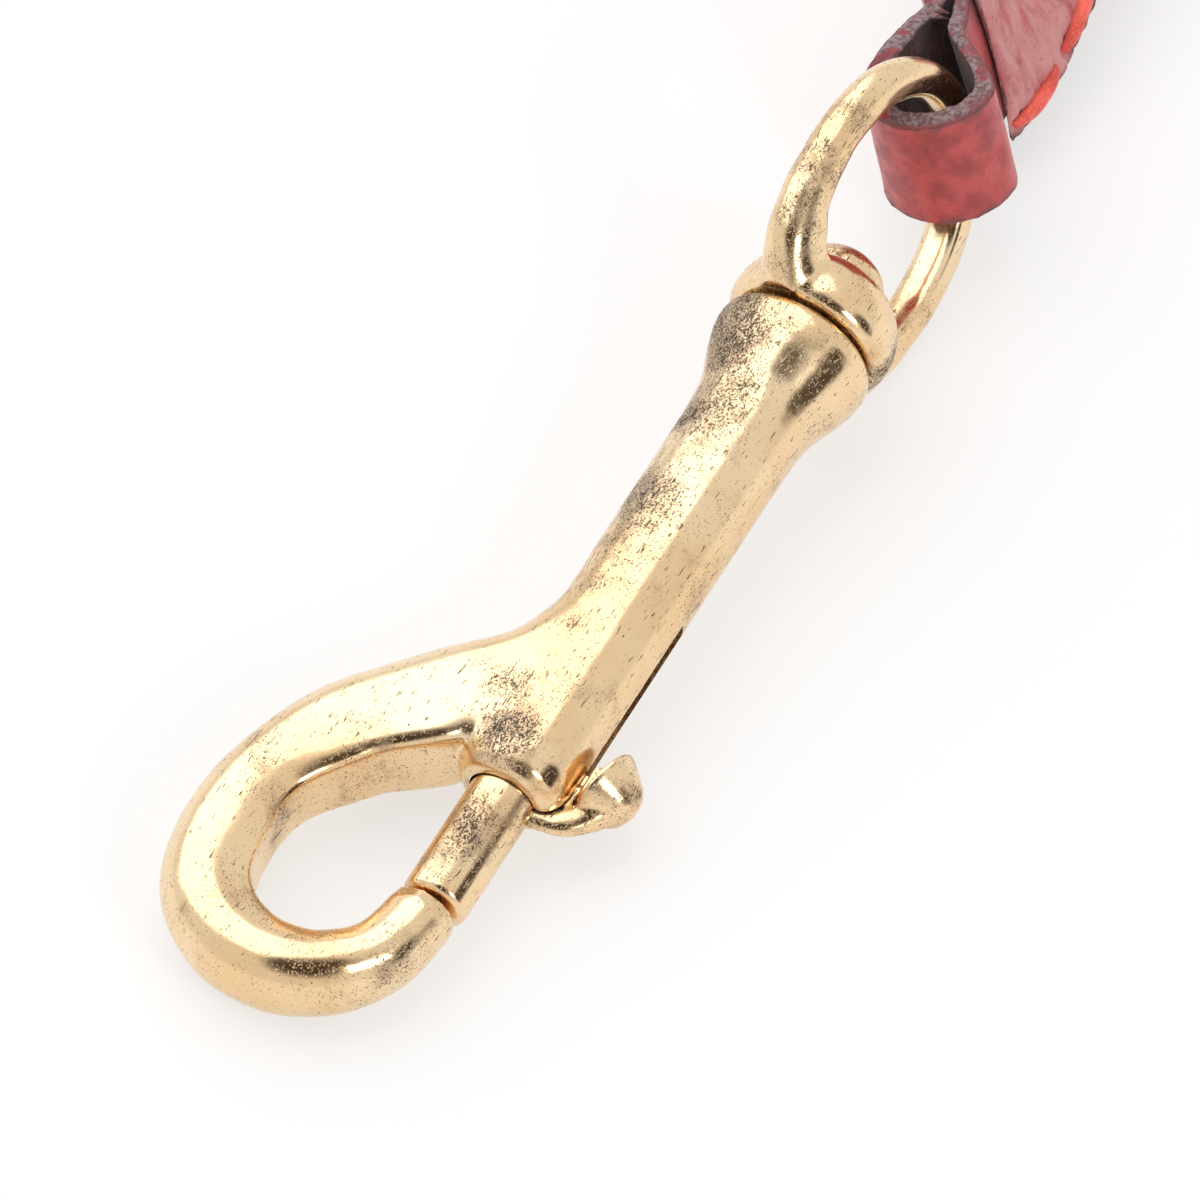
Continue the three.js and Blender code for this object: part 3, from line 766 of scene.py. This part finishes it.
loop_x = 20.3
strap_length = 78
strap_turn = math.radians(78)
strap_width = 12
layer_thickness = 1.6
tab_thickness = 1.4
tab_swell = 0.22
tab_width = 9.4
tab_inner_radius = 3.25
tab_pinch = 6.2
tab_gape = 12
tab_length = 21
tab_leg_gap = 0.1
tab_edge_radius = 0.35
tab_fray = 0.16
twist_length = 36
drop_length = 11
side_shift = 1.0
strap_clearance = 0.65
strap_end_lift = 1.6

leg_top = tab_leg_gap / 2 + tab_thickness
stack_half = leg_top + rest_gap + layer_thickness
loop_centre = (swivel_centre + swivel_axis * loop_x * mm) / mm


def strap_point(along, across, up):
    """A strap point in mm: along from the loop, across the width and up through the layers.
    The strap leaves the eye on edge, tips over its lower edge and lies down flat."""
    angle = strap_turn * (1 - smooth(along / twist_length))

    def reach(turn):
        return strap_width / 2 * math.sin(turn) + stack_half * math.cos(turn)

    clearance = mix(loop_centre.z - reach(strap_turn), strap_clearance, smooth(along / drop_length))
    lift = strap_end_lift * smooth((along - strap_length + 30) / 30)
    fallen = strap_width / 2 * (math.cos(angle) - math.cos(strap_turn))
    drift = fallen + side_shift * smooth(along / tab_pinch)
    height = clearance + reach(angle) + lift
    return Vector((
        loop_centre.x + along,
        loop_centre.y + drift + across * math.cos(angle) - up * math.sin(angle),
        height + across * math.sin(angle) + up * math.cos(angle),
    ))


def gape(along):
    """How far the far leg and the layer behind it stand off the strap's middle beside the loop."""
    if not 0 < along < tab_gape:
        return 0
    return (tab_inner_radius - tab_leg_gap) * (smooth(1 - along / tab_gape) - smooth(1 - along / tab_pinch))


def tab_line(radius, leg_up):
    """One face of the folded leaf, from one leg's end round the loop to the other's."""
    half = [Vector((mix(tab_length, tab_pinch, i / 40), leg_up)) for i in range(40)]
    for i in range(20):
        half.append(Vector((mix(tab_pinch, 0, i / 20), mix(leg_up, radius, smooth(i / 20)))))
    for i in range(21):
        angle = math.pi / 2 * (1 + i / 20)
        half.append(Vector((radius * math.cos(angle), radius * math.sin(angle))))
    return half + [Vector((p.x, -p.y)) for p in reversed(half[:-1])]


def rounded_edge(part, size, length):
    """How far a round edge draws a side in, at a part of that side's length."""
    away = min(part, 1 - part) * length
    return size * (1 - math.sqrt(1 - (1 - away / size) ** 2)) if away < size else 0


def lumps(x, y, z):
    return noise_at(Vector((x, y, z)))


def leaf(name, along, across, through, place, length, width):
    """A closed slab of leather: place(a, b, c) is a point for parts along, across and through it."""
    around = 2 * (across + through)

    def parts(u, v):
        step = round(u * around) % around
        if step <= across:
            return v, step / across, 0.0
        if step <= across + through:
            return v, 1.0, (step - across) / through
        if step <= 2 * across + through:
            return v, 1 - (step - across - through) / across, 1.0
        return v, 0.0, 1 - (step - 2 * across - through) / through

    def flat_place(u, v):
        a, b, c = parts(u, v)
        return a * length, (b - 0.5) * width, c

    return rolled(name, around, along, lambda u, v: place(*parts(u, v)), flat_place)


def folded_tab(name, along_of, stand_off):
    """stand_off(x) is how far the far leg stands away at a distance x from the loop."""
    inner = tab_line(tab_inner_radius, tab_leg_gap / 2)
    outer = tab_line(tab_inner_radius + tab_thickness, leg_top)
    last = len(inner) - 1
    leaf_length = sum((b - a).length for a, b in zip(inner, inner[1:]))

    def place(a, b, c):
        index = min(round(a * last), last)
        out = outer[index] - inner[index]
        side = math.copysign(1, b - 0.5)
        across = (b - 0.5) * tab_width
        along = a * leaf_length
        fray = max(0, 1 - (tab_width / 2 - abs(across)) / 0.5)
        if fray == 1:
            across -= side * rounded_edge(c, tab_edge_radius, tab_thickness)
        wander = fray * tab_fray * lumps(along * 1.7, side * 9, c * 2.4)
        across += wander + 0.12 * lumps(along * 0.3, side * 5, 2)
        swell = tab_swell * (c - 0.5) * smooth((tab_pinch - inner[index].x) / 3)
        wave = swell + 0.1 * lumps(along * 0.35, across * 0.3, 7)
        nap = fray * 0.1 * lumps(along * 2.2, across * 2.2, c * 3)
        point = inner[index] + out * c + out.normalized() * (wave + nap)
        up = point.y - stand_off(point.x) if point.y < 0 else point.y
        return strap_point(along_of(point.x), across, up)

    return leaf(name, last, 36, 7, place, leaf_length, tab_width)


grain_red = (0.52, 0.064, 0.066, 1)
deep_red = (0.34, 0.042, 0.044, 1)
# Pink of dust, and also painted sheen: the pale haze that light gives the grain side.
dust_and_sheen_pink = (0.6, 0.26, 0.25, 1)
rubbed_red = (0.55, 0.05, 0.042, 1)
# Brown of painted shade in the creases.
crease_shade_brown = (0.09, 0.018, 0.02, 1)
edge_mauve = (0.31, 0.21, 0.215, 1)
edge_dark = (0.13, 0.06, 0.065, 1)
edge_red = (0.3, 0.03, 0.036, 1)
suede_dark = (0.04, 0.014, 0.013, 1)
suede_red = (0.15, 0.02, 0.02, 1)


def stretched(tree, where, scale):
    return add_node(tree, "ShaderNodeMapping", Vector=where, Scale=scale).outputs[0]


def worn_leather(name, width, dust_and_sheen=0.4, rubbed=0.3):
    """Grain side, cut edge and flesh side in one finish, told apart by the piece's flat attribute."""
    material, tree = empty_material(name)
    where = add_node(tree, "ShaderNodeTexCoord").outputs["Object"]
    flat = add_node(tree, "ShaderNodeAttribute", {"attribute_name": "flat"}).outputs["Vector"]
    parts = add_node(tree, "ShaderNodeSeparateXYZ", i0=flat)
    through = parts.outputs["Z"]
    from_middle = math_node(tree, "ABSOLUTE", parts.outputs["Y"])
    fine = noise(tree, where, 2600, 4, 0.62)
    medium = noise(tree, where, 620, 4, 0.55)
    broad = noise(tree, where, 170, 3)
    # Grain side: clouds of dust and painted sheen over red, rubbed bright in places, with creases across the
    # strap darkened with painted shade.
    streaks = noise(tree, stretched(tree, flat, (0.55, 0.3, 1.0)), 1.0, 6, 0.65)
    # This mask lays dust and painted sheen, the pinkish haze of light off the grain, into the colour.
    dust_and_sheen_mask = math_node(tree, "MULTIPLY_ADD", broad, 0.6, streaks)
    dust_and_sheen_mask = ramp(tree, dust_and_sheen_mask, 0.95 - 0.4 * dust_and_sheen, 1.3 - 0.4 * dust_and_sheen)
    dust_and_sheen_mask = math_node(tree, "MULTIPLY", dust_and_sheen_mask, min(1.0, 0.25 + dust_and_sheen * 0.75))
    colour = blend_colour(tree, ramp(tree, medium, 0.35, 0.65), grain_red, deep_red)
    colour = blend_colour(tree, ramp(tree, broad, 0.52, 0.72, 0.0, rubbed), colour, rubbed_red)
    colour = blend_colour(tree, dust_and_sheen_mask, colour, dust_and_sheen_pink)
    colour = blend_colour(tree, ramp(tree, fine, 0.56, 0.7, 0.0, 0.4), colour, deep_red)
    creases = noise(tree, stretched(tree, flat, (2.6, 0.2, 1.0)), 1.0, 3, 0.7)
    crease = ramp(tree, math_node(tree, "MULTIPLY_ADD", medium, 0.2, creases), 0.76, 0.83, 0.0, 0.6)
    # Dark lines in the creases are painted shade.
    colour = blend_colour(tree, crease, colour, crease_shade_brown)
    rim = math_node(tree, "MULTIPLY_ADD", medium, 1.4, from_middle)
    rim = ramp(tree, rim, width / 2 - 0.1, width / 2 + 0.6)
    colour = blend_colour(tree, math_node(tree, "MULTIPLY", rim, 0.7), colour, edge_dark)
    # Cut edge: grey-mauve fibres, dark between, with worn red specks.
    fibres = blend_colour(tree, ramp(tree, fine, 0.4, 0.6), edge_dark, edge_mauve)
    specks = math_node(tree, "MULTIPLY", ramp(tree, medium, 0.46, 0.62), ramp(tree, fine, 0.36, 0.56))
    fibres = blend_colour(tree, specks, fibres, edge_red)
    # Flesh side: dark suede with a red nap.
    raised = ramp(tree, math_node(tree, "MULTIPLY", fine, medium), 0.24, 0.36)
    nap = blend_colour(tree, raised, suede_dark, suede_red)
    on_edge = ramp(tree, math_node(tree, "MULTIPLY_ADD", fine, 0.1, through), 0.97, 0.88)
    on_flesh = ramp(tree, through, 0.12, 0.03)
    colour = blend_colour(tree, on_edge, colour, fibres)
    colour = blend_colour(tree, on_flesh, colour, nap)
    roughness = math_node(tree, "MULTIPLY_ADD", on_edge, 0.35, ramp(tree, medium, 0.3, 0.7, 0.4, 0.55))
    pores = add_node(tree, "ShaderNodeTexVoronoi", Vector=where, Scale=3400.0).outputs["Distance"]
    relief = math_node(tree, "MULTIPLY_ADD", pores, 0.25, math_node(tree, "MULTIPLY", medium, 0.8))
    relief = math_node(tree, "MULTIPLY_ADD", crease, -1.2, relief)
    rough = math_node(tree, "MULTIPLY", math_node(tree, "MULTIPLY", fine, on_edge), 4.0)
    relief = math_node(tree, "ADD", relief, rough)
    bump = add_node(tree, "ShaderNodeBump", Height=relief, Strength=0.5, Distance=0.12 * mm)
    shader = add_node(tree, "ShaderNodeBsdfPrincipled", Base_Color=colour, Roughness=roughness,
                      Normal=bump.outputs[0])
    shader.inputs["Specular IOR Level"].default_value = 0.45
    shader.inputs["Sheen Weight"].default_value = 0.15
    shader.inputs["Sheen Roughness"].default_value = 0.5
    add_node(tree, "ShaderNodeOutputMaterial", Surface=shader.outputs[0])
    return material


def finish_leather(piece, finish, node, slot):
    shade(piece, 70)
    piece.data.materials.append(finish)
    finish_piece(piece, "strap", slot, node)


tab_leather = worn_leather("tab_leather", tab_width, dust_and_sheen=0.2, rubbed=0.7)
snap_end_tab = folded_tab("snap_end_tab", lambda x: x, gape)
finish_leather(snap_end_tab, tab_leather, "snap_tab", "smooth_leather")
ring_end_tab = folded_tab("ring_end_tab", lambda x: strap_length - x, lambda x: 0)
finish_leather(ring_end_tab, tab_leather, "ring_tab", "smooth_leather")

# ---- Strap layers and core -----------------------------------------------------------------------
# Two layers of smooth red leather are sewn face out over a core. Their ends are cut on a slant, and
# stitches pull the grain down in a groove along both edges.

layer_start = 6.4
layer_slant = 3.4
layer_edge_radius = 0.3
layer_fray = 0.07
wrinkle_depth = 0.22
wrinkle_width = 0.28
skive_depth = 0.95
skive_length = 7.5
stitch_inset = 1.0
stitch_pitch = 6.7
stitch_length = 5.4
groove_width = 0.75
groove_depth = 0.22
hole_depth = 0.4


def end_slant(along, part):
    return layer_slant * part * (1 - smooth((along - layer_start) / 12))


def row_start(across):
    return layer_start + stitch_inset + end_slant(layer_start, 0.5 + across / strap_width)


def stitch_sink(along, across):
    """How far the stitches pull the leather down: a groove along the row, and a pit at each hole."""
    row = math.copysign(strap_width / 2 - stitch_inset, across)
    sideways = abs(across - row)
    run = along - row_start(row)
    if run < -1 or sideways > 2:
        return 0
    groove = groove_depth * math.exp(-(sideways / groove_width) ** 2) * smooth(run + 1)
    from_hole = min(run % stitch_pitch, stitch_pitch - run % stitch_pitch)
    gap = (stitch_pitch - stitch_length) / 2
    pit = hole_depth * math.exp(-(sideways / 0.4) ** 2 - (max(0, from_hole - gap) / 0.4) ** 2)
    return groove + pit


def skive_drop(along):
    """How much the leather is pared down towards the layer's end at the snap."""
    return skive_depth * (1 - smooth((along - layer_start) / skive_length))


def back_gape(side, along):
    return gape(along) if side < 0 else 0


def strap_layer(name, side):
    low = leg_top + rest_gap
    layer_length = strap_length - 2 * layer_start

    def place(a, b, c):
        across = (b - 0.5) * strap_width
        plain = layer_start + a * layer_length
        along = plain + end_slant(plain, b)
        edge = max(0, 1 - (strap_width / 2 - abs(across)) / 0.5)
        end = max(0, 1 - min(a, 1 - a) * layer_length / 0.8)
        sag = 0.35 * max(edge, end) ** 2 * c
        if edge == 1:
            across -= math.copysign(rounded_edge(c, layer_edge_radius, layer_thickness), b - 0.5)
        fray = edge * layer_fray * lumps(along * 1.6, side * 7, c * 2)
        across += fray + 0.1 * lumps(along * 0.25, b * 2, side * 3)
        wrinkle = abs(lumps(along * 0.75, across * 0.16, side * 4))
        wrinkle = wrinkle_depth * max(0, wrinkle_width - wrinkle) / wrinkle_width
        wrinkle *= 0.35 + 0.65 * (1 - smooth((along - 8) / 30))
        up = low + c * (layer_thickness - skive_drop(along))
        swell = 0.12 * lumps(along * 0.3, across * 0.35, side)
        up += c * (swell - wrinkle - sag - stitch_sink(along, across))
        return strap_point(along, across, side * (up + back_gape(side, along)))

    return leaf(name, 260, 48, 7, place, layer_length, strap_width)


# The layers carry the most dust and painted sheen.
layer_leather = worn_leather("layer_leather", strap_width, dust_and_sheen=1.05, rubbed=0.5)
front_layer = strap_layer("front_layer", 1)
finish_leather(front_layer, layer_leather, "strap_front", "smooth_leather")
back_layer = strap_layer("back_layer", -1)
finish_leather(back_layer, layer_leather, "strap_back", "smooth_leather")


def core_place(a, b, c):
    start = tab_length + rest_gap
    along = mix(start, strap_length - start, a)
    across = (b - 0.5) * (strap_width - 1)
    if b in (0, 1):
        across -= math.copysign(rounded_edge(c, layer_edge_radius, 2 * leg_top), b - 0.5)
        across += 0.1 * lumps(along * 1.8, b * 5, c * 3)
    return strap_point(along, across, mix(-leg_top, leg_top, c))


core_leather = worn_leather("core_leather", strap_width - 1, dust_and_sheen=0.1, rubbed=0.2)
core_slab = leaf("core_slab", 120, 20, 8, core_place, strap_length - 2 * tab_length, strap_width - 1)
finish_leather(core_slab, core_leather, "strap_core", "cut_leather")

# ---- Stitching -----------------------------------------------------------------------------------
# Heavy waxed thread, three plies laid up in a twist, sewn in long stitches that dip into holes.

stitch_radius = 0.5
ply_turns = 2.5
thread_orange = (0.9, 0.13, 0.085, 1)
thread_shade = (0.6, 0.06, 0.04, 1)


def stitch(side, across, start):
    surface = stack_half - groove_depth * 0.8

    def place(u, v):
        turn = 2 * math.pi * u
        plies = 1 + 0.13 * abs(math.cos(1.5 * turn + math.pi * ply_turns * v))
        taper = max(0.05, math.sin(math.pi * mix(0.04, 0.96, v))) ** 0.35
        size = stitch_radius * plies * taper
        bow = stitch_radius * (0.75 * math.sin(math.pi * v) ** 0.5 - 0.35)
        along = start + stitch_length * v
        up = surface - skive_drop(along) + back_gape(side, along) + bow + size * math.sin(turn)
        return strap_point(along, across + size * math.cos(turn), side * up)

    return rolled("stitch", 14, 22, place, lambda u, v: (v * stitch_length, u, 1))


def waxed_thread():
    material, tree = empty_material("waxed_thread")
    where = add_node(tree, "ShaderNodeTexCoord").outputs["Object"]
    fine = noise(tree, where, 5200, 3, 0.6)
    broad = noise(tree, where, 300, 2)
    soiled = math_node(tree, "MULTIPLY_ADD", fine, 0.5, broad)
    colour = blend_colour(tree, ramp(tree, soiled, 0.7, 0.95), thread_orange, thread_shade)
    bump = add_node(tree, "ShaderNodeBump", Height=fine, Strength=0.5, Distance=0.06 * mm)
    roughness = ramp(tree, fine, 0.3, 0.7, 0.45, 0.7)
    shader = add_node(tree, "ShaderNodeBsdfPrincipled", Base_Color=colour, Roughness=roughness,
                      Normal=bump.outputs[0])
    shader.inputs["Sheen Weight"].default_value = 0.3
    add_node(tree, "ShaderNodeOutputMaterial", Surface=shader.outputs[0])
    return material


thread_finish = waxed_thread()
rows = [
    ("stitches_front_upper", 1, 1, "thread_front_upper"),
    ("stitches_front_lower", 1, -1, "thread_front_lower"),
    ("stitches_back_upper", -1, 1, "thread_back_upper"),
    ("stitches_back_lower", -1, -1, "thread_back_lower"),
]
for row_name, side, edge, node in rows:
    across = edge * (strap_width / 2 - stitch_inset)
    first = row_start(across)
    room = strap_length - layer_start - stitch_inset - first
    count = int((room + stitch_pitch - stitch_length) / stitch_pitch)
    gap = (stitch_pitch - stitch_length) / 2
    made = [stitch(side, across, first + i * stitch_pitch - gap) for i in range(count)]
    select_only(made[0])
    for each in made:
        each.select_set(True)
    bpy.ops.object.join()
    row = named(row_name)
    shade(row, 60)
    row.data.materials.append(thread_finish)
    finish_piece(row, "strap", "stitching", node)

# ---- Key ring ------------------------------------------------------------------------------------
# A split ring of flat plated steel wire wound nearly twice, with pressed-close ends.

ring_radius = 13
ring_wire_width = 2.0
ring_wire_height = 1.3
ring_pitch = 1.5
ring_turns = 1.92
ring_corner = 0.3
ring_centre_gap = 0.4

ring_hinge = Vector(joints["ring_swing"]["pos_m"])
ring_tilt = math.asin((ring_hinge.z / mm - ring_pitch * 1.5) / (2 * ring_radius))
ring_place = (Matrix.Translation(ring_hinge) @ Matrix.Rotation(ring_tilt, 4, "Y")
              @ Matrix.Translation(((ring_radius - ring_centre_gap) * mm, 0, 0)))


def flat_wire(u):
    """A rectangle with round corners, eight points to a corner."""
    corner, step = divmod(round(u * 32) % 32, 8)
    angle = math.pi / 2 * (corner + step / 7)
    out = (1, -1, -1, 1)[corner] * (ring_wire_width / 2 - ring_corner)
    up = (1, 1, -1, -1)[corner] * (ring_wire_height / 2 - ring_corner)
    return out + ring_corner * math.cos(angle), up + ring_corner * math.sin(angle)


def ring_coil(u, v):
    out, up = flat_wire(u)
    turn = 2 * math.pi * ring_turns * v - math.pi / 2
    rise = ring_pitch * ring_turns * (v - 0.5)
    return Vector(((ring_radius + out) * math.cos(turn), (ring_radius + out) * math.sin(turn), rise + up))


split_ring = rolled("split_ring", 32, 300, ring_coil)
put_in_place(split_ring, ring_place)
shade(split_ring)
split_ring.data.materials.append(worn_steel("ring_steel", (0.72, 0.71, 0.69, 1), 700, wear=0.6))
finish_piece(split_ring, "ring", "ring_steel", "key_ring")
